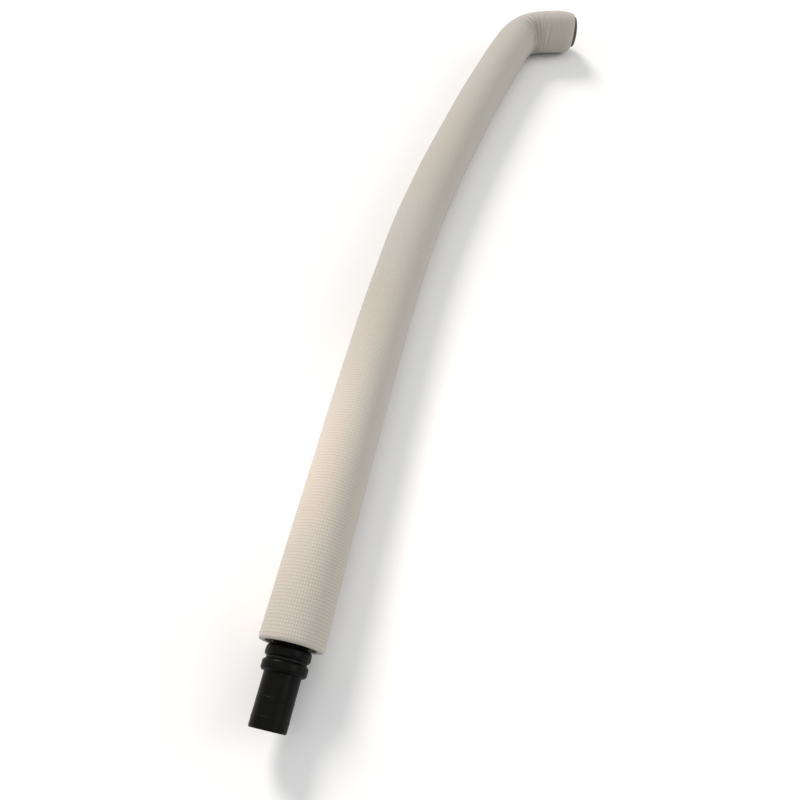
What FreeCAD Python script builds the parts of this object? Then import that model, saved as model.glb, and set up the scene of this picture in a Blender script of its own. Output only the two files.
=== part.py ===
"""Sleeved suction-hose section of a pool cleaner, in millimetres.

The hose lies on a flat surface, z = 0, and runs along +Y from the near cuff's nose to a bend
at the far end, where it turns towards +X. A barbed spigot is clamped into each end of the hose,
and a cuff turns freely on each spigot: a nose at the near end and a socket at the far end.
A foam liner and a knit sleeve cover the hose, and an elastic hem draws the sleeve's far end in
round the socket cuff.
"""
import FreeCAD, Part
import math
import os

V = FreeCAD.Vector

# ---- Where things are -------------------------------------------------------------------------
SLEEVE_R = 35.0
NEAR_RIM = V(-90.35, -574.7, SLEEVE_R)   # centre of the sleeve's near rim

# Centreline of the hose from its near end to its far end, counted from the near rim.
ROUTE = [
    (0.0, 8.0, 0.0),
    (0.0, 231.0, 0.0),
    (2.0, 456.0, 0.0),
    (13.5, 656.0, 0.0),
    (42.0, 846.0, 0.0),
    (73.0, 1009.0, 0.0),
    (92.0, 1095.0, 0.0),
    (106.5, 1151.0, 0.0),
    (134.0, 1178.5, 0.0),
    (168.6, 1186.3, 0.0),
]
ARC_SHARE = 0.45            # share of the shorter run that an arc takes at a corner

# ---- Driving dimensions -----------------------------------------------------------------------
FLOW_R = 16.0               # clear bore through the fittings
NOSE_R = 19.2               # outside of the nose, which fits a 38 mm socket
NOSE_ROOT_R = 19.4
NOSE_LENGTH = 51.0
NOSE_SEAT = 26.0            # length of the nose at NOSE_R, from its tip
RING_R = 24.0               # the two rounded rings of the near swivel
RING_WIDTH = 11.5
RING_ROUND = 4.0
RING_GAP = 2.5              # groove between the two rings
NECK_R = 18.65
NECK_LENGTH = 1.5           # from the ring to the sleeve's rim
HOSE_BORE_R = 19.0
HOSE_WALL = 2.3
HOSE_END_R = 21.8           # plain end of the hose, under the clamp
HOSE_END_LENGTH = 40.0
RIB_R = 23.5
RIB_PITCH = 14.0
RIB_WIDTH = 4.6
BARB_R = 18.95
JOURNAL_R = 19.95           # spigot's bearing surface inside the cuff
JOURNAL_LENGTH = 13.0
RUNNING_CLEARANCE = 0.08    # radial, between journal and cuff
MOVING_GAP = 0.3            # between faces that pass each other
SLEEVE_WALL = 3.0
LINER_IN_R = 24.0
LINER_OUT_R = 31.8
LINER_SETBACK = 45.0        # the liner starts this far inside the near rim
SOCKET_CUFF_R = 24.0        # outside of the far cuff
SOCKET_RIM_R = 25.6         # raised band round its mouth
SOCKET_RIM_WIDTH = 8.0
SOCKET_RIM_PROUD = 4.0      # the band's face beyond the sleeve
SOCKET_R = 19.6
SOCKET_DEPTH = 25.6
SLEEVE_MOUTH_R = 26.4       # the sleeve's drawn-in far end
SLEEVE_END_ROUND = 8.0

# Worked out from the dimensions above
HOSE_OUT_R = HOSE_BORE_R + HOSE_WALL
CUFF_BORE_R = JOURNAL_R + RUNNING_CLEARANCE
FAR_FLANGE = 2.5
FAR_WASHER = 1.5
FAR_JOURNAL = 11.0
CUFF_BACK = FAR_FLANGE + FAR_WASHER + MOVING_GAP      # far cuff's parts, beyond the hose's end
SOCKET_FLOOR = CUFF_BACK + FAR_JOURNAL + 2.0
SOCKET_MOUTH = SOCKET_FLOOR + SOCKET_DEPTH
SLEEVE_END = SOCKET_MOUTH - SOCKET_RIM_PROUD


# ---- Geometry helpers -------------------------------------------------------------------------
def unit(vector):
    return vector * (1.0 / vector.Length)


def corner(before, point, after, cut):
    """Tangent arc at a corner, as its start, centre, normal, angle, radius and end."""
    inward = unit(point - before)
    outward = unit(after - point)
    angle = inward.getAngle(outward)
    radius = cut / math.tan(angle / 2)
    normal = unit(inward.cross(outward))
    start = point - inward * cut
    centre = start + normal.cross(inward) * radius
    return start, centre, normal, angle, radius, point + outward * cut


class Path:
    """Straight runs joined by tangent arcs along a list of points."""

    def __init__(self, points):
        self.pieces = []
        here = points[0]
        for before, point, after in zip(points, points[1:], points[2:]):
            cut = ARC_SHARE * min((point - before).Length, (after - point).Length)
            start, centre, normal, angle, radius, end = corner(before, point, after, cut)
            self.add_line(here, start)
            self.pieces.append(("arc", start, unit(point - before), radius * angle, centre, normal))
            print("arc radius %.0f mm, turn %.1f degrees" % (radius, math.degrees(angle)))
            here = end
        self.add_line(here, points[-1])
        self.length = sum(piece[3] for piece in self.pieces)

    def add_line(self, start, end):
        self.pieces.append(("line", start, unit(end - start), (end - start).Length, None, None))

    def at(self, s):
        """Point and tangent at length s, carried straight on beyond either end."""
        for kind, start, tangent, length, centre, normal in self.pieces:
            if s <= length:
                break
            s -= length
        else:
            s += length
        if kind == "line":
            return start + tangent * s, tangent
        turn = FreeCAD.Rotation(normal, math.degrees(s / (start - centre).Length))
        return centre + turn.multVec(start - centre), turn.multVec(tangent)

    def placement(self, s):
        """Local +Y along the path and local +Z upwards, at length s."""
        point, tangent = self.at(s)
        side = unit(tangent.cross(V(0, 0, 1)))
        return FreeCAD.Placement(point, FreeCAD.Rotation(side, tangent, side.cross(tangent), "YXZ"))

    def tube(self, inner_r, outer_r, start_s, end_s):
        """Round tube along the path between two lengths."""
        solids = []
        passed = 0.0
        for kind, start, tangent, length, centre, normal in self.pieces:
            low = max(start_s - passed, 0.0)
            high = min(end_s - passed, length)
            if high - low > 0.001:
                point, direction = self.at(passed + low)
                ring = annulus(inner_r, outer_r, point, direction)
                if kind == "line":
                    solids.append(ring.extrude(direction * (high - low)))
                else:
                    degrees = math.degrees((high - low) / (start - centre).Length)
                    solids.append(ring.revolve(centre, normal, degrees))
            passed += length
        return solids[0].multiFuse(solids[1:]) if len(solids) > 1 else solids[0]


def annulus(inner_r, outer_r, point, direction):
    outer = Part.Wire(Part.makeCircle(outer_r, point, direction))
    inner = Part.Wire(Part.makeCircle(inner_r, point, direction))
    return Part.makeFace([outer, inner], "Part::FaceMakerBullseye")


def outline(points):
    """Closed wire in the XY plane through (radius, y) points; a third number rounds the corner."""
    count = len(points)
    flat = [V(p[0], p[1], 0) for p in points]
    edges = []
    here = None
    first = None
    for i in range(count):
        before, point, after = flat[i - 1], flat[i], flat[(i + 1) % count]
        entry, leave, arc = point, point, None
        if len(points[i]) == 3:
            angle = unit(point - before).getAngle(unit(after - point))
            cut = points[i][2] * math.tan(angle / 2)
            entry, centre, normal, angle, radius, leave = corner(before, point, after, cut)
            middle = centre + unit(point - centre) * radius
            arc = Part.Arc(entry, middle, leave).toShape()
        if here is not None:
            edges.append(Part.makeLine(here, entry))
        else:
            first = entry
        if arc:
            edges.append(arc)
        here = leave
    edges.append(Part.makeLine(here, first))
    return Part.Wire(edges)


def turned(points, placement):
    """Solid of revolution about the local Y axis."""
    solid = Part.Face(outline(points)).revolve(V(0, 0, 0), V(0, 1, 0), 360)
    solid.Placement = placement
    return solid


def washer(inner_r, outer_r, low, high, placement):
    return turned([(inner_r, low), (outer_r, low), (outer_r, high), (inner_r, high)], placement)


def o_ring(ring_r, section_r, y, placement):
    solid = Part.makeTorus(ring_r, section_r, V(0, y, 0), V(0, 1, 0))
    solid.Placement = placement
    return solid


# ---- The path and the two local frames --------------------------------------------------------
path = Path([NEAR_RIM + V(*point) for point in ROUTE])
near = FreeCAD.Placement(NEAR_RIM, FreeCAD.Rotation())   # y = 0 at the near rim, +Y into the sleeve
far = path.placement(path.length)                        # y = 0 at the hose's end, +Y outwards
hose_start = ROUTE[0][1]


# ---- Swivel details shared by both ends -------------------------------------------------------
# Each spigot's journal carries an O-ring and a snap ring. Both are placed by their distance
# from the journal's free end, along the direction that points back to the hose.
SNAP_FROM_TIP = 2.85
SNAP_HALF_WIDTH = 0.8
SNAP_IN_R = 18.3
SNAP_OUT_R = 21.15
SNAP_OPENING = 24.0         # degrees left open in the snap ring
SEAL_FROM_TIP = 7.2
SEAL_SECTION_R = 1.2
SEAL_R = 18.7
SNAP_GROOVE_R = 17.9
SEAL_GROOVE_R = 17.45
SEAL_GROOVE_HALF_WIDTH = 1.3


def groove(points_r, y, half_width, depth_r):
    """Four outline points of a rectangular groove in a surface of radius points_r."""
    return [(points_r, y - half_width), (depth_r, y - half_width),
            (depth_r, y + half_width), (points_r, y + half_width)]


def journal_grooves(tip_y, towards_hose):
    """Outline of the two grooves in a journal, from its tip towards the hose."""
    snap = groove(JOURNAL_R, tip_y + towards_hose * SNAP_FROM_TIP, SNAP_HALF_WIDTH + 0.35,
                  SNAP_GROOVE_R)
    seal = groove(JOURNAL_R, tip_y + towards_hose * SEAL_FROM_TIP, SEAL_GROOVE_HALF_WIDTH,
                  SEAL_GROOVE_R)
    if towards_hose < 0:
        snap.reverse()
        seal.reverse()
    return snap + seal


def snap_ring(tip_y, towards_hose, placement):
    y = tip_y + towards_hose * SNAP_FROM_TIP
    face = Part.Face(outline([(SNAP_IN_R, y - SNAP_HALF_WIDTH), (SNAP_OUT_R, y - SNAP_HALF_WIDTH),
                              (SNAP_OUT_R, y + SNAP_HALF_WIDTH), (SNAP_IN_R, y + SNAP_HALF_WIDTH)]))
    solid = face.revolve(V(0, 0, 0), V(0, 1, 0), 360 - SNAP_OPENING)
    solid.Placement = placement
    return solid


def seal_ring(tip_y, towards_hose, placement):
    return o_ring(SEAL_R, SEAL_SECTION_R, tip_y + towards_hose * SEAL_FROM_TIP, placement)


def barbs(start_y, count, pitch, step):
    """Outline of saw-tooth barbs along a tail, rising in the direction of step."""
    points = []
    for i in range(count):
        y = start_y + step * i * pitch
        points += [(NECK_R, y), (BARB_R, y + step * 0.6 * pitch), (NECK_R, y + step * 0.7 * pitch)]
    return points


# ---- Near swivel ------------------------------------------------------------------------------
RING_1 = (-NECK_LENGTH - RING_WIDTH, -NECK_LENGTH)                   # on the spigot
RING_2 = (RING_1[0] - RING_GAP - RING_WIDTH, RING_1[0] - RING_GAP)   # on the cuff
NOSE_TIP = RING_2[0] - NOSE_LENGTH
NEAR_JOURNAL_TIP = RING_1[0] - JOURNAL_LENGTH
JOURNAL_END_GAP = 0.6
TAIL_END = 42.0
STOP_R = 21.5               # collar that the hose's near end stops against
STOP_WIDTH = 3.0
NEAR_WASHER_R = 21.3
BARB_PITCH = 6.0
TIP_CHAMFER = 1.0


def near_cuff():
    seat_end = NOSE_TIP + NOSE_SEAT
    back = NEAR_JOURNAL_TIP - JOURNAL_END_GAP
    snap_y = NEAR_JOURNAL_TIP + SNAP_FROM_TIP
    inside = [(CUFF_BORE_R, RING_2[1])]
    inside += list(reversed(groove(CUFF_BORE_R, snap_y, SNAP_HALF_WIDTH + 0.05, SNAP_OUT_R + 0.05)))
    inside += [(CUFF_BORE_R, back), (FLOW_R, back), (FLOW_R, NOSE_TIP)]
    outside = [
        (NOSE_R - TIP_CHAMFER, NOSE_TIP),
        (NOSE_R, NOSE_TIP + 1.2 * TIP_CHAMFER),
        (NOSE_R, seat_end),
        (NOSE_ROOT_R, seat_end + 1.0),
        (NOSE_ROOT_R, RING_2[0]),
        (RING_R, RING_2[0], RING_ROUND),
        (RING_R, RING_2[1], RING_ROUND - 0.2),
    ]
    return turned(outside + inside, near)


def near_spigot():
    stop = hose_start
    outside = [(FLOW_R, NEAR_JOURNAL_TIP), (JOURNAL_R, NEAR_JOURNAL_TIP)]
    outside += journal_grooves(NEAR_JOURNAL_TIP, 1)
    outside += [
        (JOURNAL_R, RING_1[0]),
        (RING_R, RING_1[0], RING_ROUND - 0.2),
        (RING_R, RING_1[1], RING_ROUND),
        (NECK_R, RING_1[1]),
        (NECK_R, stop - STOP_WIDTH),
        (STOP_R, stop - STOP_WIDTH),
        (STOP_R, stop),
        (NECK_R, stop),
    ]
    outside += barbs(stop + 4, 5, BARB_PITCH, 1)
    outside += [(NECK_R, TAIL_END - 2), (NECK_R - 1, TAIL_END), (FLOW_R, TAIL_END)]
    return turned(outside, near)


def near_thrust_washer():
    return washer(JOURNAL_R + 0.1, NEAR_WASHER_R, RING_1[0] - RING_GAP + MOVING_GAP, RING_1[0],
                  near)


# ---- Far swivel -------------------------------------------------------------------------------
FAR_JOURNAL_TIP = FAR_FLANGE + FAR_WASHER + FAR_JOURNAL
FAR_TAIL = 18.0
FAR_FLANGE_R = 23.0
SOCKET_SEAL_Y = SOCKET_FLOOR + 2.6
SOCKET_SEAL_HALF_WIDTH = 1.5
SOCKET_SEAL_R = 21.2
MOUTH_CHAMFER = 1.4


def far_spigot():
    outside = [(FLOW_R, -FAR_TAIL), (NECK_R - 1, -FAR_TAIL), (NECK_R, -FAR_TAIL + 2)]
    outside += list(reversed(barbs(-3, 2, BARB_PITCH, -1)))
    outside += [(NECK_R, 0), (FAR_FLANGE_R, 0), (FAR_FLANGE_R, FAR_FLANGE), (JOURNAL_R, FAR_FLANGE)]
    outside += list(reversed(journal_grooves(FAR_JOURNAL_TIP, -1)))
    outside += [(JOURNAL_R, FAR_JOURNAL_TIP), (FLOW_R, FAR_JOURNAL_TIP)]
    return turned(outside, far)


def far_thrust_washer():
    return washer(JOURNAL_R + 0.1, FAR_FLANGE_R, FAR_FLANGE, FAR_FLANGE + FAR_WASHER, far)


def far_cuff():
    snap_y = FAR_JOURNAL_TIP - SNAP_FROM_TIP
    rim = SOCKET_MOUTH - SOCKET_RIM_WIDTH
    outside = [
        (CUFF_BORE_R, CUFF_BACK),
        (SOCKET_CUFF_R, CUFF_BACK, 1.0),
        (SOCKET_CUFF_R, rim - 2),
        (SOCKET_RIM_R, rim),
        (SOCKET_RIM_R, SOCKET_MOUTH, 2.0),
        (SOCKET_R + MOUTH_CHAMFER, SOCKET_MOUTH),
        (SOCKET_R, SOCKET_MOUTH - MOUTH_CHAMFER),
    ]
    inside = list(reversed(groove(SOCKET_R, SOCKET_SEAL_Y, SOCKET_SEAL_HALF_WIDTH + 0.05,
                                  SOCKET_SEAL_R + 0.05)))
    inside += [
        (SOCKET_R, SOCKET_FLOOR),
        (FLOW_R + 1, SOCKET_FLOOR),
        (FLOW_R + 1, SOCKET_FLOOR - 1.6),
        (CUFF_BORE_R, SOCKET_FLOOR - 1.6),
    ]
    inside += list(reversed(groove(CUFF_BORE_R, snap_y, SNAP_HALF_WIDTH + 0.05, SNAP_OUT_R + 0.05)))
    return turned(outside + inside, far)


def socket_seal():
    return washer(SOCKET_R + 0.05, SOCKET_SEAL_R, SOCKET_SEAL_Y - SOCKET_SEAL_HALF_WIDTH,
                  SOCKET_SEAL_Y + SOCKET_SEAL_HALF_WIDTH, far)


# ---- Worm-drive clamps ------------------------------------------------------------------------
BAND_IN_R = HOSE_END_R + 0.05
BAND_OUT_R = 22.6
BAND_WIDTH = 12.0
SCREW_Z = 25.3              # axis of the screw above the hose's centreline
SCREW_R = 2.4
SCREW_BORE_R = SCREW_R + 0.08
HOUSING_X = (-9.0, 4.5)
HOUSING_TOP = 28.4
NEAR_CLAMP_Y = 30.0         # middle of the band, from the near rim
FAR_CLAMP_Y = -10.0         # middle of the band, from the hose's end


def clamp_band(middle, placement):
    low = middle - BAND_WIDTH / 2
    return washer(BAND_IN_R, BAND_OUT_R, low, low + BAND_WIDTH, placement)


def clamp_housing(middle, placement):
    half = BAND_WIDTH / 2 + 0.3
    block = Part.makeBox(HOUSING_X[1] - HOUSING_X[0], 2 * half, HOUSING_TOP - 20.0,
                         V(HOUSING_X[0], middle - half, 20.0))
    top_edges = [e for e in block.Edges if min(v.Z for v in e.Vertexes) > HOUSING_TOP - 0.1]
    block = block.makeFillet(1.2, top_edges)
    saddle = Part.makeCylinder(BAND_OUT_R + 0.05, 40, V(0, middle - 20, 0), V(0, 1, 0))
    bore = Part.makeCylinder(SCREW_BORE_R, 40, V(-20, middle, SCREW_Z), V(1, 0, 0))
    block = block.cut(saddle).cut(bore)
    block.Placement = placement
    return block


def clamp_screw(middle, placement):
    """Worm with a slotted hexagon head, lying across the hose."""
    worm_start, worm_end, head_end = HOUSING_X[0] + 0.4, HOUSING_X[1] + 0.4, 9.2
    worm = Part.makeCylinder(SCREW_R, worm_end - worm_start + 0.1, V(worm_start, middle, SCREW_Z),
                             V(1, 0, 0))
    for i in range(6):
        notch = Part.makeTorus(SCREW_R, 0.35, V(worm_start + 1.6 + 1.8 * i, middle, SCREW_Z), V(1, 0, 0))
        worm = worm.cut(notch)
    corners = []
    for i in range(7):
        angle = math.radians(60 * i)
        corners.append(V(worm_end, middle + 3.0 * math.cos(angle), SCREW_Z + 3.0 * math.sin(angle)))
    head = Part.Face(Part.makePolygon(corners)).extrude(V(head_end - worm_end, 0, 0))
    slot = Part.makeBox(1.4, 8, 1.0, V(head_end - 1.2, middle - 4, SCREW_Z - 0.5))
    screw = worm.fuse(head).cut(slot)
    screw.Placement = placement
    return screw


# ---- Hose, liner and sleeve -------------------------------------------------------------------
STRAIGHT_START = -19.0      # the last straight stretch starts here, from the hose's end
CLAMP_ROOM_R = 30.2         # the liner's inside round the far clamp
CUFF_ROOM_R = 28.2          # the liner's inside round the far cuff
LINER_END = 9.2             # behind the sleeve's far end
HEM_START = 0.6             # each hem starts this far inside the sleeve's rim
NEAR_HEM_LENGTH = 19.0
NEAR_HEM_IN_R = 27.4
HEM_GAP = 0.1
FAR_HEM_LENGTH = 14.0
FAR_HEM_OUT_R = 27.7
RIM_ROUND = 1.4
ELASTIC_R = 29.0
ELASTIC_SECTION_R = 1.2
ELASTIC_BACK = 5.4          # middle of the elastic behind the sleeve's far end


def hose():
    """Corrugated wall: two plain ends, and valleys and ribs in turn between them."""
    end = path.length
    plain_start = end + STRAIGHT_START
    count = round((plain_start - HOSE_END_LENGTH - RIB_PITCH) / RIB_PITCH)
    pitch = (plain_start - HOSE_END_LENGTH + RIB_WIDTH) / (count + 1)
    stretches = [path.tube(HOSE_BORE_R, HOSE_END_R, 0, HOSE_END_LENGTH),
                 path.tube(HOSE_BORE_R, HOSE_END_R, plain_start, end)]
    for i in range(count + 1):
        valley = HOSE_END_LENGTH + pitch * i
        stretches.append(path.tube(HOSE_BORE_R, HOSE_OUT_R, valley, valley + pitch - RIB_WIDTH))
        if i < count:
            stretches.append(path.tube(HOSE_BORE_R, RIB_R, valley + pitch - RIB_WIDTH, valley + pitch))
    plain_tube = path.tube(HOSE_BORE_R, HOSE_OUT_R, 0, end)
    section = math.pi * (HOSE_OUT_R ** 2 - HOSE_BORE_R ** 2)
    print("hose wall: volume / (section x length) = %.4f" % (plain_tube.Volume / (section * end)))
    return stretches[0].multiFuse(stretches[1:])


def foam_liner():
    start = LINER_SETBACK - hose_start
    body = path.tube(LINER_IN_R, LINER_OUT_R, start, path.length + STRAIGHT_START)
    end = SLEEVE_END - LINER_END
    step = STRAIGHT_START + 2
    over_fittings = turned([(LINER_IN_R, STRAIGHT_START), (LINER_OUT_R, STRAIGHT_START),
                            (LINER_OUT_R, end), (CUFF_ROOM_R, end), (CUFF_ROOM_R, FAR_FLANGE),
                            (CLAMP_ROOM_R, FAR_FLANGE), (CLAMP_ROOM_R, step),
                            (LINER_IN_R, step)], far)
    return body.fuse(over_fittings)


def knit_sleeve():
    inner_r = SLEEVE_R - SLEEVE_WALL
    rim = turned([(inner_r, 0, RIM_ROUND), (SLEEVE_R, 0, RIM_ROUND), (SLEEVE_R, hose_start),
                  (inner_r, hose_start)], near)
    body = path.tube(inner_r, SLEEVE_R, 0, path.length + STRAIGHT_START)
    lip_back = SLEEVE_END - SLEEVE_WALL
    drawn_in = turned([(inner_r, STRAIGHT_START), (SLEEVE_R, STRAIGHT_START),
                       (SLEEVE_R, SLEEVE_END, SLEEVE_END_ROUND), (SLEEVE_MOUTH_R, SLEEVE_END, 0.5),
                       (SLEEVE_MOUTH_R, lip_back),
                       (inner_r, lip_back, SLEEVE_END_ROUND - SLEEVE_WALL)], far)
    return body.multiFuse([rim, drawn_in])


def near_hem():
    outer_r = SLEEVE_R - SLEEVE_WALL - HEM_GAP
    end = HEM_START + NEAR_HEM_LENGTH
    return turned([(NEAR_HEM_IN_R, HEM_START, 2.0), (outer_r, HEM_START + 0.8), (outer_r, end),
                   (NEAR_HEM_IN_R, end)], near)


def far_hem():
    end = SLEEVE_END - SLEEVE_WALL - HEM_GAP
    return washer(SLEEVE_MOUTH_R, FAR_HEM_OUT_R, end - FAR_HEM_LENGTH, end, far)


def far_hem_elastic():
    """Cord between the sleeve's drawn-in end and its hem."""
    return o_ring(ELASTIC_R, ELASTIC_SECTION_R, SLEEVE_END - ELASTIC_BACK, far)


# ---- All nodes --------------------------------------------------------------------------------
nodes = {
    "near_cuff": near_cuff(),
    "near_spigot": near_spigot(),
    "near_thrust_washer": near_thrust_washer(),
    "near_o_ring": seal_ring(NEAR_JOURNAL_TIP, 1, near),
    "near_retaining_ring": snap_ring(NEAR_JOURNAL_TIP, 1, near),
    "near_clamp_band": clamp_band(NEAR_CLAMP_Y, near),
    "near_clamp_housing": clamp_housing(NEAR_CLAMP_Y, near),
    "near_clamp_screw": clamp_screw(NEAR_CLAMP_Y, near),
    "hose": hose(),
    "foam_liner": foam_liner(),
    "knit_sleeve": knit_sleeve(),
    "near_hem": near_hem(),
    "far_hem": far_hem(),
    "far_hem_elastic": far_hem_elastic(),
    "far_spigot": far_spigot(),
    "far_thrust_washer": far_thrust_washer(),
    "far_o_ring": seal_ring(FAR_JOURNAL_TIP, -1, far),
    "far_retaining_ring": snap_ring(FAR_JOURNAL_TIP, -1, far),
    "far_clamp_band": clamp_band(FAR_CLAMP_Y, far),
    "far_clamp_housing": clamp_housing(FAR_CLAMP_Y, far),
    "far_clamp_screw": clamp_screw(FAR_CLAMP_Y, far),
    "far_cuff": far_cuff(),
    "socket_seal": socket_seal(),
}

os.makedirs("parts", exist_ok=True)
whole = FreeCAD.BoundBox()
for name, shape in nodes.items():
    if len(shape.Solids) != 1 or not shape.isValid():
        print("CHECK", name, "solids", len(shape.Solids), "valid", shape.isValid())
    shape.exportStep("parts/%s.step" % name)
    whole.add(shape.optimalBoundingBox(False))
print("hose path length %.1f mm" % path.length)
print("box x %.2f to %.2f, y %.2f to %.2f, z %.2f to %.2f"
      % (whole.XMin, whole.XMax, whole.YMin, whole.YMax, whole.ZMin, whole.ZMax))
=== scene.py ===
"""Looks of the sleeved pool-cleaner hose section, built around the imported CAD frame, in metres."""
import math

import bpy
import numpy as np
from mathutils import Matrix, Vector


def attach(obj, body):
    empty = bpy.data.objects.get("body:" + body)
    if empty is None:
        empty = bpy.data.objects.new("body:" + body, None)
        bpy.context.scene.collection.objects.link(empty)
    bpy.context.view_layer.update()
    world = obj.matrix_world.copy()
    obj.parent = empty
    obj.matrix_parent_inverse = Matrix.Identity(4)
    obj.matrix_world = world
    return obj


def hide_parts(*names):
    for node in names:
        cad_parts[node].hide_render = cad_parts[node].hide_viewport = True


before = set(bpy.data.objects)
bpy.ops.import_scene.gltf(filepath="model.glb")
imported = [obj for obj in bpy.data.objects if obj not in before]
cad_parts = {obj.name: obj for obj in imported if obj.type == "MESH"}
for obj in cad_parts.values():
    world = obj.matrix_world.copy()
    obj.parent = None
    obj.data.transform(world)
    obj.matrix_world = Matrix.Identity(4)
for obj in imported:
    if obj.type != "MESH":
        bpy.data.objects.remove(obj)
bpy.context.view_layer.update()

MM = 0.001
TURN = 2 * math.pi

# ---- Sizes repeated from the CAD source, in mm unless they say otherwise -----------------------
SLEEVE_R = 35.0
NEAR_RIM = np.array([-90.35, -574.7, 35.0]) * MM
ROUTE = np.array([
    (0.0, 8.0, 0.0),
    (0.0, 231.0, 0.0),
    (2.0, 456.0, 0.0),
    (13.5, 656.0, 0.0),
    (42.0, 846.0, 0.0),
    (73.0, 1009.0, 0.0),
    (92.0, 1095.0, 0.0),
    (106.5, 1151.0, 0.0),
    (134.0, 1178.5, 0.0),
    (168.6, 1186.3, 0.0),
]) * MM
HOSE_START = 8.0            # hose's near end, from the near rim
SOCKET_MOUTH = 42.9         # far cuff's rim, beyond the hose's far end
SLEEVE_END = 38.9           # sleeve's far rim, beyond the hose's far end
SLEEVE_MOUTH_R = 26.4       # the drawn-in cloth round the far cuff
NOSE_TIP = -78.0
RING_2 = (-27.0, -15.5)     # the cuff's ring, from the near rim
RING_1 = (-13.0, -1.5)      # the spigot's ring
RING_R = 24.0
NOSE_R = 19.2
FLOW_R = 16.0
HOSE_BORE_R = 19.0
JOURNAL_R = 19.95
CUFF_BORE_R = 20.03
NECK_R = 18.65
JOURNAL_TIP = -26.0         # near spigot's free end
TAIL_END = 42.0             # near spigot's end inside the hose
STOP_R = 21.5               # collar that the hose's near end meets
STOP_WIDTH = 3.0
BARB_R = 18.95
BARB_PITCH = 6.0
CUFF_BACK = 4.3             # far cuff's inner end, beyond the hose's far end
SOCKET_CUFF_R = 24.0
SOCKET_RIM_R = 25.6
SOCKET_RIM_WIDTH = 8.0
SOCKET_FLOOR = 17.3
SOCKET_R = 19.6
SNAP_GROOVE_R = 21.2        # outside of the far cuff's groove for its snap ring
SEAL_GROOVE_R = 21.25       # and of its socket's groove for the seal


# ---- The line that everything follows ---------------------------------------------------------
def sampled_route(route):
    """Points along the smooth NURBS line that has the route as its control points, in metres."""
    data = bpy.data.curves.new("route", "CURVE")
    data.dimensions = "3D"
    spline = data.splines.new("NURBS")
    spline.points.add(len(route) - 1)
    for control, place in zip(spline.points, route):
        control.co = (*place, 1.0)
    spline.order_u = 3
    spline.use_endpoint_u = True
    spline.resolution_u = 48
    holder = bpy.data.objects.new("route", data)
    mesh = bpy.data.meshes.new_from_object(holder)
    line = np.array([v.co for v in mesh.vertices], float)
    bpy.data.objects.remove(holder)
    bpy.data.curves.remove(data)
    bpy.data.meshes.remove(mesh)
    return line


class Line:
    """Places points by their distance along the hose (mm, from the near rim), radius and angle."""

    def __init__(self, route):
        self.hose = sampled_route(route)
        first, last = route[1] - route[0], route[-1] - route[-2]
        start = self.hose[0] - first / np.linalg.norm(first) * 0.15
        end = self.hose[-1] + last / np.linalg.norm(last) * 0.08
        points = np.vstack([start, self.hose, end])
        steps = np.linalg.norm(np.diff(points, axis=0), axis=1)
        self.s = np.concatenate([[0], np.cumsum(steps)]) / MM - 150.0 + HOSE_START
        self.hose_end = self.s[-2]
        self.points = points
        tangent = np.diff(points, axis=0) / steps[:, None]
        tangent = np.vstack([tangent[:1], (tangent[1:] + tangent[:-1]) / 2, tangent[-1:]])
        tangent[1], tangent[-2] = tangent[0], tangent[-1]
        self.tangent = tangent

    def frames(self, s):
        """Centre, sideways and upward directions at each distance."""
        s = np.asarray(s, float)
        centre = np.stack([np.interp(s, self.s, self.points[:, k]) for k in range(3)], -1)
        tangent = np.stack([np.interp(s, self.s, self.tangent[:, k]) for k in range(3)], -1)
        tangent /= np.linalg.norm(tangent, axis=-1, keepdims=True)
        side = np.cross(tangent, (0, 0, 1))
        side /= np.linalg.norm(side, axis=-1, keepdims=True)
        return centre, side, np.cross(side, tangent)

    def place(self, s, radius, angle):
        """Points at arrays of distance, radius (mm) and angle, counted from the top to the right."""
        centre, side, up = self.frames(s)
        radius = (np.asarray(radius, float) * MM)[..., None]
        return centre + radius * (side * np.sin(angle)[..., None] + up * np.cos(angle)[..., None])


line = Line(NEAR_RIM + ROUTE)
FAR = line.hose_end         # distance of the hose's far end, where the far fittings start


# ---- Mesh helpers -----------------------------------------------------------------------------
def grid_mesh(name, grid, uv=None):
    """Closed quad mesh from a (rings, around, 3) grid that wraps both ways."""
    rings, around = grid.shape[:2]
    i, j = np.meshgrid(np.arange(rings), np.arange(around), indexing="ij")
    ni, nj = (i + 1) % rings, (j + 1) % around
    quads = np.stack([i * around + j, i * around + nj, ni * around + nj, ni * around + j], -1)
    mesh = bpy.data.meshes.new(name)
    mesh.from_pydata(grid.reshape(-1, 3), [], quads.reshape(-1, 4).tolist())
    mesh.polygons.foreach_set("use_smooth", np.ones(rings * around, bool))
    if uv is not None:
        ring_v, column_u = uv
        corners = np.stack([
            np.stack([column_u * j, ring_v[i]], -1),
            np.stack([column_u * (j + 1), ring_v[i]], -1),
            np.stack([column_u * (j + 1), ring_v[ni]], -1),
            np.stack([column_u * j, ring_v[ni]], -1),
        ], 2)
        layer = mesh.uv_layers.new(name="weave")
        layer.data.foreach_set("uv", corners.astype(np.float32).ravel())
    obj = bpy.data.objects.new(name, mesh)
    bpy.context.scene.collection.objects.link(obj)
    return obj


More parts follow.
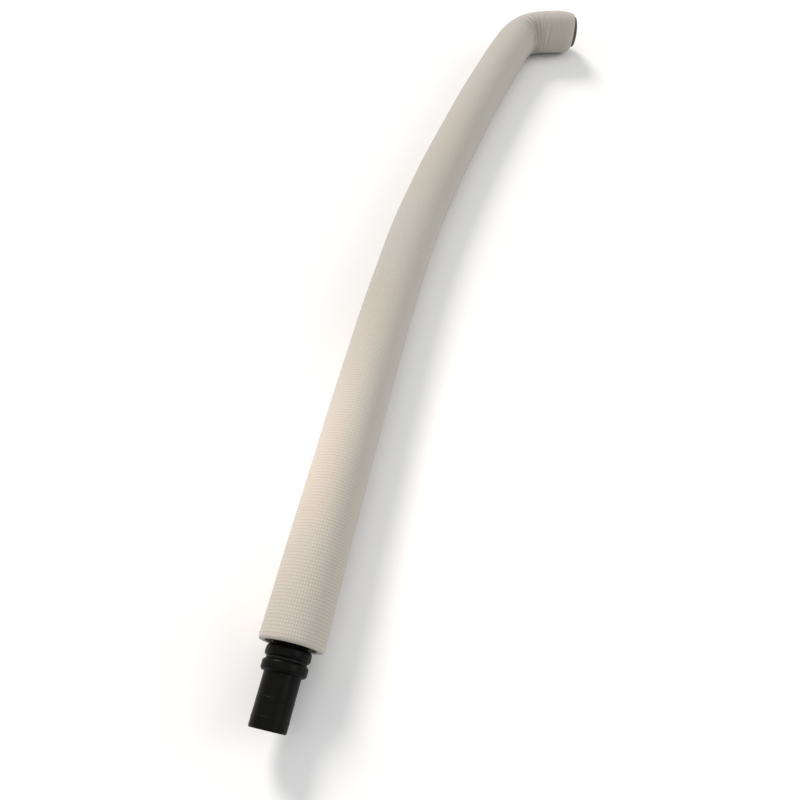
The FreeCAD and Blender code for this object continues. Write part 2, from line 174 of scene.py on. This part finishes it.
def outline(corners, steps=6, support=0.25):
    """Closed (radius, distance) outline in mm; a corner's third number is its rounding."""
    count = len(corners)
    points = []
    for i in range(count):
        before = np.array(corners[i - 1][:2], float)
        here = np.array(corners[i][:2], float)
        after = np.array(corners[(i + 1) % count][:2], float)
        inward = (here - before) / np.linalg.norm(here - before)
        outward = (after - here) / np.linalg.norm(after - here)
        turn = math.acos(max(-1.0, min(1.0, inward @ outward)))
        rounding = corners[i][2] if len(corners[i]) == 3 else 0.2
        if turn < 0.02:
            points.append(here)
            continue
        cut = min(rounding * math.tan(turn / 2), 0.8 * min(np.linalg.norm(here - before),
                                                            np.linalg.norm(after - here)))
        rounding = cut / math.tan(turn / 2)
        start = here - inward * cut
        sign = math.copysign(1.0, inward[0] * outward[1] - inward[1] * outward[0])
        normal = sign * np.array([-inward[1], inward[0]])
        centre = start + normal * rounding
        if np.linalg.norm(here - before) > 4 * (cut + support):
            points.append(start - inward * support)
        for k in range(steps + 1):
            angle = sign * turn * k / steps
            arm = start - centre
            points.append(centre + np.array([arm[0] * math.cos(angle) - arm[1] * math.sin(angle),
                                             arm[0] * math.sin(angle) + arm[1] * math.cos(angle)]))
        if np.linalg.norm(after - here) > 4 * (cut + support):
            points.append(here + outward * (cut + support))
    return np.array(points)


def lathed(name, corners, origin=0.0, around=144, reshape=None):
    """Solid of revolution about the line; distances are counted from origin."""
    profile = outline(corners)
    angle = np.linspace(0, TURN, around, endpoint=False)
    radius, theta = np.meshgrid(profile[:, 0], angle, indexing="ij")
    distance = np.repeat(profile[:, 1:2] + origin, around, axis=1)
    if reshape:
        radius = reshape(radius, distance - origin, theta)
    return grid_mesh(name, line.place(distance, radius, theta))


def threads(name, middle, radius, reach, turns, thickness, around=8):
    """Sewing thread that zigzags round the line; reach is half the zigzag's width in mm."""
    steps = turns * 8
    angle = np.linspace(0, TURN, steps, endpoint=False)
    phase = angle * turns
    along = middle + reach * np.sin(phase)
    height = radius + 0.5 * thickness * np.cos(2 * phase)
    core = line.place(along, height, angle)
    ahead = np.roll(core, -1, 0) - np.roll(core, 1, 0)
    ahead /= np.linalg.norm(ahead, axis=1, keepdims=True)
    outward = line.place(along, height + 1, angle) - core
    outward -= ahead * np.sum(outward * ahead, 1, keepdims=True)
    outward /= np.linalg.norm(outward, axis=1, keepdims=True)
    across = np.cross(ahead, outward)
    spin = np.linspace(0, TURN, around, endpoint=False)[None, :, None]
    grid = core[:, None] + thickness * MM / 2 * (outward[:, None] * np.cos(spin)
                                                 + across[:, None] * np.sin(spin))
    return grid_mesh(name, grid)


def finished(obj, body, slot, material, *nodes):
    """Puts a piece on its body with its finish, in place of CAD nodes."""
    obj.data.materials.clear()
    obj.data.materials.append(material)
    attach(obj, body)
    if nodes:
        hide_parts(*nodes)
    return obj


def refinish(material, *nodes):
    """Gives CAD nodes that keep their own shape a better material."""
    for node in nodes:
        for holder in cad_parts[node].material_slots:
            holder.material = material


# ---- Materials --------------------------------------------------------------------------------
class Shader:
    """Principled material with a few procedural nodes."""

    def __init__(self, name, roughness, metallic=0.0, specular=0.5, sheen=0.0):
        self.material = bpy.data.materials.new(name)
        self.material.use_nodes = True
        self.tree = self.material.node_tree
        self.surface = self.tree.nodes["Principled BSDF"]
        self.set(self.surface, {"Roughness": roughness, "Metallic": metallic,
                                "Specular IOR Level": specular, "Sheen Weight": sheen})

    def set(self, node, values):
        for key, value in values.items():
            socket = node.inputs[key]
            if isinstance(value, bpy.types.NodeSocket):
                self.tree.links.new(value, socket)
            else:
                socket.default_value = value

    def add(self, kind, values=None, **settings):
        node = self.tree.nodes.new(kind)
        for key, value in settings.items():
            setattr(node, key, value)
        self.set(node, values or {})
        return node

    def math(self, operation, a, b=0.0):
        return self.add("ShaderNodeMath", {0: a, 1: b}, operation=operation).outputs[0]

    def noise(self, scale, detail=2.0, vector=None):
        values = {"Scale": scale, "Detail": detail}
        values["Vector"] = vector or self.add("ShaderNodeTexCoord").outputs["Object"]
        return self.add("ShaderNodeTexNoise", values).outputs["Fac"]

    def span(self, value, low, high, to_low=0.0, to_high=1.0):
        node = self.add("ShaderNodeMapRange", {"Value": value, "From Min": low, "From Max": high,
                                               "To Min": to_low, "To Max": to_high})
        return node.outputs["Result"]

    def mix(self, factor, a, b):
        node = self.add("ShaderNodeMix", data_type="RGBA")
        self.set(node, {"Factor": factor})
        for index, colour in ((6, a), (7, b)):
            if isinstance(colour, bpy.types.NodeSocket):
                self.tree.links.new(colour, node.inputs[index])
            else:
                node.inputs[index].default_value = (*colour, 1.0)
        return node.outputs[2]

    def colour(self, socket):
        self.set(self.surface, {"Base Color": socket})

    def bump(self, height, distance, strength=1.0):
        node = self.add("ShaderNodeBump", {"Height": height, "Distance": distance,
                                           "Strength": strength})
        self.set(self.surface, {"Normal": node.outputs["Normal"]})


def knit(name, light, warm, groove, depth):
    """Waffle knit: rows and columns follow the weave coordinates, one unit to a stitch cell; painted
    shade darkens the grooves.
    """
    shader = Shader(name, roughness=0.92, specular=0.12, sheen=0.2)
    weave = shader.add("ShaderNodeUVMap", uv_map="weave").outputs["UV"]
    split = shader.add("ShaderNodeSeparateXYZ", {0: weave})
    row = shader.math("COSINE", shader.math("MULTIPLY", split.outputs["Y"], TURN))
    column = shader.math("COSINE", shader.math("MULTIPLY", split.outputs["X"], TURN))
    yarn = shader.noise(1500.0, 3.0)
    patches = shader.span(shader.noise(7.0, 3.0), 0.35, 0.65)
    speckle = shader.span(shader.noise(420.0, 2.0), 0.3, 0.7)
    cloth = shader.mix(patches, light, warm)
    cloth = shader.mix(shader.math("MULTIPLY", speckle, 0.14), cloth, groove)
    # Painted shade: the weave's row valleys and column gaps are darkened towards the groove colour, as
    # strong as depth; the speckle above uses the same dark colour as random tone.
    row_valley_shade = shader.span(row, -1.0, -0.3, 1.0, 0.0)
    column_gap_shade = shader.math("MULTIPLY", shader.span(column, -1.0, -0.3, 1.0, 0.0), 0.85)
    painted_groove_shade = shader.math("MULTIPLY", shader.math("MAXIMUM", row_valley_shade, column_gap_shade), depth)
    shader.colour(shader.mix(painted_groove_shade, cloth, groove))
    height = shader.math("ADD", shader.math("MULTIPLY", column, 0.4), yarn)
    shader.bump(height, 0.25 * MM, 0.7)
    return shader.material


def moulded(name, dark, light, roughness, specular):
    """Moulded plastic with a fine texture and a few paler scuffs."""
    shader = Shader(name, roughness=roughness, specular=specular)
    scuffs = shader.span(shader.noise(60.0, 6.0), 0.52, 0.74)
    shader.colour(shader.mix(shader.math("MULTIPLY", scuffs, 0.5), dark, light))
    gloss = shader.span(shader.noise(25.0, 3.0), 0.3, 0.7, roughness - 0.06, roughness + 0.08)
    shader.set(shader.surface, {"Roughness": gloss})
    shader.bump(shader.noise(1800.0, 2.0), 0.05 * MM, 0.5)
    return shader.material


def steel(name):
    shader = Shader(name, roughness=0.32, metallic=1.0)
    fine = shader.noise(900.0, 4.0)
    shader.colour(shader.mix(fine, (0.52, 0.52, 0.53), (0.68, 0.68, 0.67)))
    shader.set(shader.surface, {"Roughness": shader.span(fine, 0.2, 0.8, 0.24, 0.42)})
    shader.bump(fine, 0.02 * MM, 0.5)
    return shader.material


def foam(name):
    """Open foam: a field of small pores, their hollows darkened with painted shade."""
    shader = Shader(name, roughness=0.95, specular=0.1, sheen=0.15)
    where = shader.add("ShaderNodeTexCoord").outputs["Object"]
    pores = shader.add("ShaderNodeTexVoronoi", {"Scale": 900.0, "Vector": where}).outputs["Distance"]
    pore_height_and_shade = shader.span(pores, 0.1, 0.6)
    # Painted shade: the colour darkens where the bump sinks the pores.
    shader.colour(shader.mix(pore_height_and_shade, (0.38, 0.33, 0.26), (0.66, 0.60, 0.49)))
    shader.bump(pore_height_and_shade, 0.4 * MM, 0.8)
    return shader.material


def smooth_plain(name, colour, tint, roughness, specular=0.5):
    shader = Shader(name, roughness=roughness, specular=specular)
    shader.colour(shader.mix(shader.span(shader.noise(180.0, 3.0), 0.35, 0.65), colour, tint))
    shader.bump(shader.noise(1200.0, 2.0), 0.03 * MM, 0.4)
    return shader.material


# Each knit takes light and warm colours, a dark groove colour used for random speckle and for painted
# groove shade, and the strength of that painted shade.
KNIT = knit("cream_knit", (0.552, 0.527, 0.482), (0.562, 0.515, 0.455), (0.31, 0.288, 0.242), 0.5)
# The hems' knit is a paler copy of the sleeve's knit with weaker painted groove shade, though the hems
# are the same cloth turned inside: painted light on hem faces that lie in shade.
LIT_HEM_KNIT = knit("hem_knit", (0.58, 0.54, 0.475), (0.59, 0.535, 0.465), (0.34, 0.31, 0.26), 0.4)
CUFF_PLASTIC = moulded("black_cuff", (0.0030, 0.0030, 0.0028), (0.009, 0.009, 0.008), 0.38, 0.08)
SOCKET_PLASTIC = moulded("grey_socket", (0.095, 0.090, 0.078), (0.135, 0.128, 0.11), 0.5, 0.25)
HOSE_PLASTIC = moulded("black_hose", (0.010, 0.010, 0.011), (0.022, 0.021, 0.020), 0.36, 0.3)
STEEL = steel("clamp_steel")
FOAM = foam("liner_foam")
ACETAL = smooth_plain("acetal", (0.005, 0.005, 0.005), (0.009, 0.009, 0.009), 0.4, 0.1)
RUBBER = smooth_plain("seal_rubber", (0.015, 0.015, 0.015), (0.03, 0.03, 0.03), 0.55, 0.3)
ELASTIC = smooth_plain("elastic", (0.62, 0.58, 0.50), (0.50, 0.46, 0.40), 0.85, 0.1)
THREAD = smooth_plain("thread", (0.66, 0.61, 0.52), (0.56, 0.51, 0.42), 0.8, 0.15)

refinish(ACETAL, "near_thrust_washer", "far_thrust_washer")
refinish(RUBBER, "near_o_ring", "far_o_ring", "socket_seal")
refinish(CUFF_PLASTIC, "far_spigot")
for end in ("near", "far"):
    refinish(STEEL, end + "_retaining_ring", end + "_clamp_band", end + "_clamp_housing",
             end + "_clamp_screw")

# ---- Near swivel ------------------------------------------------------------------------------
BEAD_PLACES = (0.47, 0.80)  # the nose's two raised lines, as shares of its length from the ring
BEAD_HEIGHT = 0.22
BEAD_WIDTH = 1.5


def near_cuff():
    nose_length = RING_2[0] - NOSE_TIP
    corners = [(FLOW_R, NOSE_TIP, 0.6), (NOSE_R - 1.0, NOSE_TIP, 0.4), (NOSE_R, NOSE_TIP + 1.4, 0.8)]
    for share in reversed(BEAD_PLACES):
        bead = RING_2[0] - share * nose_length
        corners += [(NOSE_R, bead - BEAD_WIDTH, 0.5),
                    (NOSE_R + BEAD_HEIGHT, bead - BEAD_WIDTH / 2, 0.4),
                    (NOSE_R + BEAD_HEIGHT, bead + BEAD_WIDTH / 2, 0.4),
                    (NOSE_R, bead + BEAD_WIDTH, 0.5)]
    corners += [
        (NOSE_R + 0.2, RING_2[0], 0.6),
        (RING_R, RING_2[0], 4.2),
        (RING_R, RING_2[1], 3.8),
        (CUFF_BORE_R, RING_2[1], 0.3),
        (CUFF_BORE_R, JOURNAL_TIP - 0.6),
        (FLOW_R, JOURNAL_TIP - 0.6, 0.3),
    ]
    return lathed("near_cuff_moulding", corners)


def near_spigot():
    corners = [(FLOW_R, JOURNAL_TIP, 0.4), (JOURNAL_R, JOURNAL_TIP, 0.4)]
    for start, end, floor in ((1.7, 4.0, 17.9), (5.9, 8.5, 17.45)):     # snap ring, O-ring
        corners += [(JOURNAL_R, JOURNAL_TIP + start), (floor, JOURNAL_TIP + start),
                    (floor, JOURNAL_TIP + end), (JOURNAL_R, JOURNAL_TIP + end)]
    corners += [
        (JOURNAL_R, RING_1[0], 0.3),
        (RING_R, RING_1[0], 3.8),
        (RING_R, RING_1[1], 4.2),
        (NECK_R, RING_1[1], 0.4),
        (NECK_R, HOSE_START - STOP_WIDTH, 0.3),
        (STOP_R, HOSE_START - STOP_WIDTH, 0.4),
        (STOP_R, HOSE_START),
        (NECK_R, HOSE_START),
    ]
    for barb in range(5):
        root = HOSE_START + 4 + BARB_PITCH * barb
        corners += [(NECK_R, root), (BARB_R, root + 3.6), (NECK_R, root + 4.2)]
    corners += [(NECK_R, TAIL_END - 2, 0.5), (NECK_R - 1, TAIL_END, 0.3), (FLOW_R, TAIL_END, 0.3)]
    return lathed("near_spigot_moulding", corners)


finished(near_cuff(), "nose_cuff", "cuff_plastic", CUFF_PLASTIC, "near_cuff")
finished(near_spigot(), "hose_body", "cuff_plastic", CUFF_PLASTIC, "near_spigot")

# ---- Far cuff ---------------------------------------------------------------------------------
FLUTES = 12                 # shallow grip flutes in the band's edge
FLUTE_DEPTH = 0.7


def fluted(radius, distance, theta):
    """Sinks the flutes into the outer edge of the band round the mouth."""
    edge = np.clip((radius - 24.2) / 1.0, 0, 1)
    dip = np.clip(np.cos(theta * FLUTES) - 0.2, 0, 1) ** 0.6
    return radius - FLUTE_DEPTH * edge * dip


def far_cuff():
    rim = SOCKET_MOUTH - SOCKET_RIM_WIDTH
    corners = [
        (CUFF_BORE_R, CUFF_BACK, 0.3),
        (SOCKET_CUFF_R, CUFF_BACK, 1.0),
        (SOCKET_CUFF_R, rim - 2, 1.0),
        (SOCKET_RIM_R, rim, 1.0),
        (SOCKET_RIM_R, SOCKET_MOUTH, 2.2),
        (SOCKET_R + 1.4, SOCKET_MOUTH, 0.8),
        (SOCKET_R, SOCKET_MOUTH - 1.4, 0.6),
    ]
    seal = (SOCKET_FLOOR + 4.15, SOCKET_FLOOR + 1.05)
    corners += [(SOCKET_R, seal[0], 0.1), (SEAL_GROOVE_R, seal[0], 0.1),
                (SEAL_GROOVE_R, seal[1], 0.1), (SOCKET_R, seal[1], 0.1)]
    corners += [
        (SOCKET_R, SOCKET_FLOOR, 0.4),
        (FLOW_R + 1, SOCKET_FLOOR, 0.4),
        (FLOW_R + 1, SOCKET_FLOOR - 1.6),
        (CUFF_BORE_R, SOCKET_FLOOR - 1.6),
        (CUFF_BORE_R, 13.0, 0.1),
        (SNAP_GROOVE_R, 13.0, 0.1),
        (SNAP_GROOVE_R, 11.3, 0.1),
        (CUFF_BORE_R, 11.3, 0.1),
    ]
    return lathed("far_cuff_moulding", corners, FAR, 192, fluted)


finished(far_cuff(), "socket_cuff", "socket_plastic", SOCKET_PLASTIC, "far_cuff")

# ---- Corrugated hose --------------------------------------------------------------------------
RIB_R = 23.4
VALLEY_R = 21.3
PLAIN_R = 21.8
RIB_PITCH = 14.0
PLAIN_LENGTH = 40.0
RINGS_PER_RIB = 8


def hose_radius(s):
    """Outside of the hose: rounded ribs between two plain ends."""
    inset = np.minimum(s - HOSE_START - PLAIN_LENGTH, FAR - 19.0 - s)
    wave = 0.5 - 0.5 * np.cos(TURN * (s - HOSE_START - PLAIN_LENGTH) / RIB_PITCH)
    ribbed = VALLEY_R + (RIB_R - VALLEY_R) * wave ** 2.2
    return np.where(inset > 0, ribbed, PLAIN_R)


def hose():
    rings = round((FAR - HOSE_START) / RIB_PITCH * RINGS_PER_RIB)
    outer = np.linspace(HOSE_START, FAR, rings + 1)
    inner = np.linspace(FAR, HOSE_START, 160)
    s = np.concatenate([outer, inner])
    base = np.concatenate([hose_radius(outer), np.full(len(inner), HOSE_BORE_R)])
    angle = np.linspace(0, TURN, 64, endpoint=False)
    distance, theta = np.meshgrid(s, angle, indexing="ij")
    radius = np.repeat(base[:, None], len(angle), axis=1)
    return grid_mesh("corrugated_hose", line.place(distance, radius, theta))


hose_piece = finished(hose(), "hose_body", "hose_plastic", HOSE_PLASTIC, "hose")

# ---- Foam liner -------------------------------------------------------------------------------
LINER_START = 45.0
LINER_IN_R = 24.1
LINER_OUT_R = 31.4
CLAMP_ROOM_R = 30.2
CUFF_ROOM_R = 28.2


def foam_liner():
    """Soft tube whose outside is a little uneven; it thins over the far clamp and cuff."""
    end = FAR + SLEEVE_END - 9.2
    outer = np.linspace(LINER_START, end, 240)
    inner = np.linspace(end, LINER_START, 120)
    s = np.concatenate([outer, inner])
    over_clamp = np.clip((inner - (FAR - 18.0)) / 2.0, 0, 1)
    over_cuff = np.clip((inner - FAR - 2.5) / 2.0, 0, 1)
    inner_r = (LINER_IN_R + (CLAMP_ROOM_R - LINER_IN_R) * over_clamp
               + (CUFF_ROOM_R - CLAMP_ROOM_R) * over_cuff)
    outer_r = LINER_OUT_R - np.clip((outer - end + 10.0) / 10.0, 0, 1)
    base = np.concatenate([outer_r, inner_r])
    angle = np.linspace(0, TURN, 72, endpoint=False)
    distance, theta = np.meshgrid(s, angle, indexing="ij")
    uneven = 0.25 * np.sin(distance / 9.0 + 3 * theta) * np.sin(distance / 23.0 - 2 * theta)
    is_outer = (np.arange(len(s)) < len(outer))[:, None]
    radius = base[:, None] + uneven * is_outer
    return grid_mesh("liner_foam_tube", line.place(distance, radius, theta))


liner = finished(foam_liner(), "hose_body", "liner_foam", FOAM, "foam_liner")

# ---- Knit sleeve ------------------------------------------------------------------------------
ROW_PITCH = 3.6             # mm along the sleeve
COLUMNS = 72                # stitch cells around the sleeve
AROUND = 96                 # mesh points around the sleeve and its hems
WAFFLE_ROW = 0.24           # mm, height of the rows
KNIT_WALL = 3.0
RIM_R = 1.4
FAR_RIM = FAR + SLEEVE_END
DOME_DROP = SLEEVE_R - SLEEVE_MOUTH_R - 2 * RIM_R


def towards(angle, centre, width):
    """1 at an angle round the sleeve, falling to 0 at width to either side, all in degrees."""
    away = np.abs((np.degrees(angle) - centre + 180) % 360 - 180)
    return 0.5 + 0.5 * np.cos(np.clip(away / width, 0, 1) * math.pi)


def end_radius(s, angle):
    """Radius of the sleeve before its wrinkles, mm: softly rounded at the rim, domed at the far end."""
    near = np.clip(1 - s / 5.0, 0, 1)
    length = 16.0 + 18.0 * towards(angle, -50, 140)
    dome = np.clip((s - (FAR_RIM - RIM_R - length)) / length, 0, 0.999)
    drop = 0.5 * (1 - np.sqrt(1 - dome ** 2)) + 0.5 * dome ** 2
    return SLEEVE_R - 1.4 * near ** 2 - DOME_DROP * drop


# Wrinkles of the far bend: place before the hose's end, half width and depth in mm, and how far
# they fan out
FOLDS = (
    (-80, 2.6, 1.4, 10.0),
    (-72, 2.2, 2.2, 8.0),
    (-65, 2.2, 2.8, 6.0),
    (-57, 2.2, 3.4, 3.5),
    (-48, 2.8, 4.4, 0.0),
    (-39, 2.2, 3.2, -3.5),
    (-31, 2.2, 2.6, -6.0),
    (-23, 2.2, 1.8, -8.0),
    (-13, 2.6, 1.2, -9.0),
)


def folds(s, angle):
    """Wrinkles that fan out from the inner side of the far bend, mm."""
    inner = towards(angle, 78, 135) ** 1.2
    total = np.zeros_like(s)
    for place, width, depth, lean in FOLDS:
        fan = lean * (np.cos(angle - math.radians(95)) - 0.6)
        centre = FAR + place + fan + 1.5 * np.sin(2.3 * angle + place)
        total -= depth * inner * np.exp(-((s - centre) / width) ** 2)
        total += 0.35 * depth * inner * np.exp(-((s - centre - 2 * width) / width) ** 2)
    pinch = towards(angle, 95, 75)
    total -= 3.0 * pinch * np.exp(-((s - (FAR - 50.0)) / 12.0) ** 2)
    fullness = towards(angle, 100, 100)
    total += 0.8 * fullness * np.exp(-((s - (FAR - 4.0)) / 20.0) ** 2)
    return total


def drift(s, angle):
    """Slow unevenness of cloth over foam, mm."""
    return (0.25 * np.sin(s / 61.0 + 2 * np.sin(angle)) + 0.2 * np.sin(s / 27.0 + 1.7 + 3 * angle)
            + 0.15 * np.sin(s / 143.0 - 2 * angle))


def knit_sleeve():
    rows = round((FAR_RIM - 2 * RIM_R) / ROW_PITCH)
    outer = np.linspace(RIM_R, FAR_RIM - RIM_R, 2 * rows + 1)
    inner = np.linspace(FAR_RIM - RIM_R, RIM_R, 84)
    bend = np.radians(np.linspace(0, 180, 9)[1:-1])
    s = np.concatenate([outer, FAR_RIM - RIM_R + RIM_R * np.sin(bend), inner,
                        RIM_R - RIM_R * np.sin(bend)])
    # How far each ring lies inside the outer surface: 0 outside, a curl at the rims, 2 RIM_R inside
    inset = np.concatenate([np.zeros(len(outer)), RIM_R - RIM_R * np.cos(bend),
                            np.full(len(inner), 2 * RIM_R), RIM_R + RIM_R * np.cos(bend)])
    is_inner = inset == 2 * RIM_R
    angle = np.linspace(0, TURN, AROUND, endpoint=False)
    distance, theta = np.meshgrid(s, angle, indexing="ij")
    at_end = np.clip(distance, RIM_R, FAR_RIM - RIM_R)
    radius = end_radius(at_end, theta) - inset[:, None]
    radius[is_inner] = np.minimum(radius[is_inner], SLEEVE_R - KNIT_WALL)
    row = np.where(np.arange(len(s)) % 2 == 0, 1.0, -1.0)[:, None]
    weave = (np.arange(len(s)) < len(outer))[:, None] * WAFFLE_ROW * row
    share = 1 - inset[:, None] / (2 * RIM_R)
    radius += weave + share * (drift(distance, theta) + folds(distance, theta))
    pulled_back = towards(theta, 85, 150) + 0.7 * towards(theta, -80, 90)
    at_far = np.clip((distance - (FAR_RIM - 30.0)) / 30.0, 0, 1)
    at_near = np.clip(1 - distance / 20.0, 0, 1)
    distance = (distance + at_far * (2.2 - 5.0 * pulled_back)
                + at_near * (0.3 + 0.3 * np.sin(3 * theta + 0.8)))
    points = line.place(distance, radius, theta)
    points[..., 2] = np.maximum(points[..., 2], 0.1 * MM)
    return grid_mesh("knit_sleeve_cloth", points, uv=(s / ROW_PITCH, COLUMNS / AROUND))


sleeve = finished(knit_sleeve(), "hose_body", "sleeve_knit", KNIT, "knit_sleeve")

# ---- Hems and elastic -------------------------------------------------------------------------
HEM_ROW = 2.4               # mm between the hem's knit rows


def hem(name, start, end, inner_r, outer_r):
    """Band of cloth turned to the inside of the sleeve, with a round fold and its rows of stitches."""
    rows = round((end - start) / HEM_ROW)
    inner = np.linspace(start, end, 2 * rows + 1)
    outer = np.linspace(end, start, 6)
    ridge = np.where(np.arange(len(inner)) % 2 == 0, 0.12, -0.12)
    fold = np.radians(np.linspace(0, 180, 8)[1:-1])
    half = (outer_r - inner_r) / 2
    s = np.concatenate([inner, outer, start - 0.4 * half * np.sin(fold)])
    base = np.concatenate([inner_r - ridge, np.full(len(outer), outer_r),
                           inner_r + half + half * np.cos(fold)])
    angle = np.linspace(0, TURN, AROUND, endpoint=False)
    distance, theta = np.meshgrid(s, angle, indexing="ij")
    radius = np.repeat(base[:, None], len(angle), axis=1)
    weave = (s / HEM_ROW, COLUMNS / AROUND)
    return grid_mesh(name, line.place(distance, radius, theta), uv=weave)


NEAR_HEM = (1.0, 19.6)
FAR_HEM = (FAR_RIM - 17.1, FAR_RIM - 3.1)
NEAR_HEM_R = (27.5, 31.85)  # inside and outside of each band
FAR_HEM_R = (26.4, 27.7)
# Both hems wear the paler knit, painted light on their shaded faces.
near_hem = finished(hem("near_hem_band", *NEAR_HEM, *NEAR_HEM_R), "hose_body", "hem_knit",
                    LIT_HEM_KNIT, "near_hem")
far_hem = finished(hem("far_hem_band", *FAR_HEM, *FAR_HEM_R), "hose_body", "hem_knit",
                   LIT_HEM_KNIT, "far_hem")
stitches = [
    threads("near_hem_stitches", NEAR_HEM[0] + 4.0, NEAR_HEM_R[0] - 0.25, 1.4, 56, 0.5),
    threads("far_hem_stitches", FAR_HEM[0] + 3.0, FAR_HEM_R[0] - 0.2, 1.4, 48, 0.4),
]
for stitch in stitches:
    finished(stitch, "hose_body", "hem_knit", THREAD)
elastic = threads("hem_elastic", FAR_RIM - 5.4, 29.0, 0.1, 40, 1.6)
finished(elastic, "hose_body", "elastic_cord", ELASTIC, "far_hem_elastic")


# ---- Camera, light and floor ------------------------------------------------------------------
GLOW_WATTS = 5.5
WORLD_STRENGTH = 0.50


def camera():
    data = bpy.data.cameras.new("camera")
    data.lens = 27.9
    data.sensor_width = 36.0
    data.clip_start = 0.01
    eye = bpy.data.objects.new("camera", data)
    bpy.context.scene.collection.objects.link(eye)
    eye.location = NEAR_RIM + np.array([131.3, -80.8, 675.0]) * MM
    pitch, heading = math.radians(59.39), math.radians(11.8)
    look = Vector((-math.sin(heading) * math.cos(pitch), math.cos(heading) * math.cos(pitch),
                   -math.sin(pitch)))
    eye.rotation_euler = look.to_track_quat("-Z", "Y").to_euler()
    bpy.context.scene.camera = eye


def sun(name, direction, strength, colour, angle):
    data = bpy.data.lights.new(name, "SUN")
    data.energy = strength
    data.color = colour
    data.angle = angle
    lamp = bpy.data.objects.new(name, data)
    bpy.context.scene.collection.objects.link(lamp)
    lamp.rotation_euler = Vector(direction).to_track_quat("Z", "Y").to_euler()


def warm_glow():
    """Soft lamp of warm white on the left of the sleeve's lower half."""
    data = bpy.data.lights.new("glow", "SPOT")
    data.energy = GLOW_WATTS
    data.color = (1.0, 0.73, 0.57)
    data.spot_size = math.radians(48)
    data.spot_blend = 1.0
    data.shadow_soft_size = 0.12
    lamp = bpy.data.objects.new("glow", data)
    bpy.context.scene.collection.objects.link(lamp)
    aim = Vector((-0.10, -0.36, 0.05))
    lamp.location = aim + Vector((-0.40, 0.0, 0.33))
    lamp.rotation_euler = (lamp.location - aim).to_track_quat("Z", "Y").to_euler()


def studio():
    world = bpy.data.worlds.new("studio")
    bpy.context.scene.world = world
    world.use_nodes = True
    background = world.node_tree.nodes["Background"]
    background.inputs["Color"].default_value = (1.0, 1.0, 1.0, 1.0)
    background.inputs["Strength"].default_value = WORLD_STRENGTH
    sun("key", (-0.51, 0.675, 0.53), 2.35, (1.0, 0.955, 0.91), math.radians(18))
    sun("fill", (0.8, 0.2, 0.57), 0.6, (0.98, 1.0, 0.98), math.radians(30))
    sun("top", (0.0, -0.1, 1.0), 0.38, (1.0, 1.0, 1.0), math.radians(60))
    warm_glow()
    bpy.context.scene.view_settings.view_transform = "Standard"
    size = 4.0
    mesh = bpy.data.meshes.new("floor")
    mesh.from_pydata([(-size, -size, 0), (size, -size, 0), (size, size, 0), (-size, size, 0)], [],
                     [(0, 1, 2, 3)])
    floor = bpy.data.objects.new("floor", mesh)
    bpy.context.scene.collection.objects.link(floor)
    pale = Shader("pale_floor", roughness=0.9, specular=0.0)
    pale.set(pale.surface, {"Base Color": (0.93, 0.93, 0.93, 1.0)})
    floor.data.materials.append(pale.material)


camera()
studio()
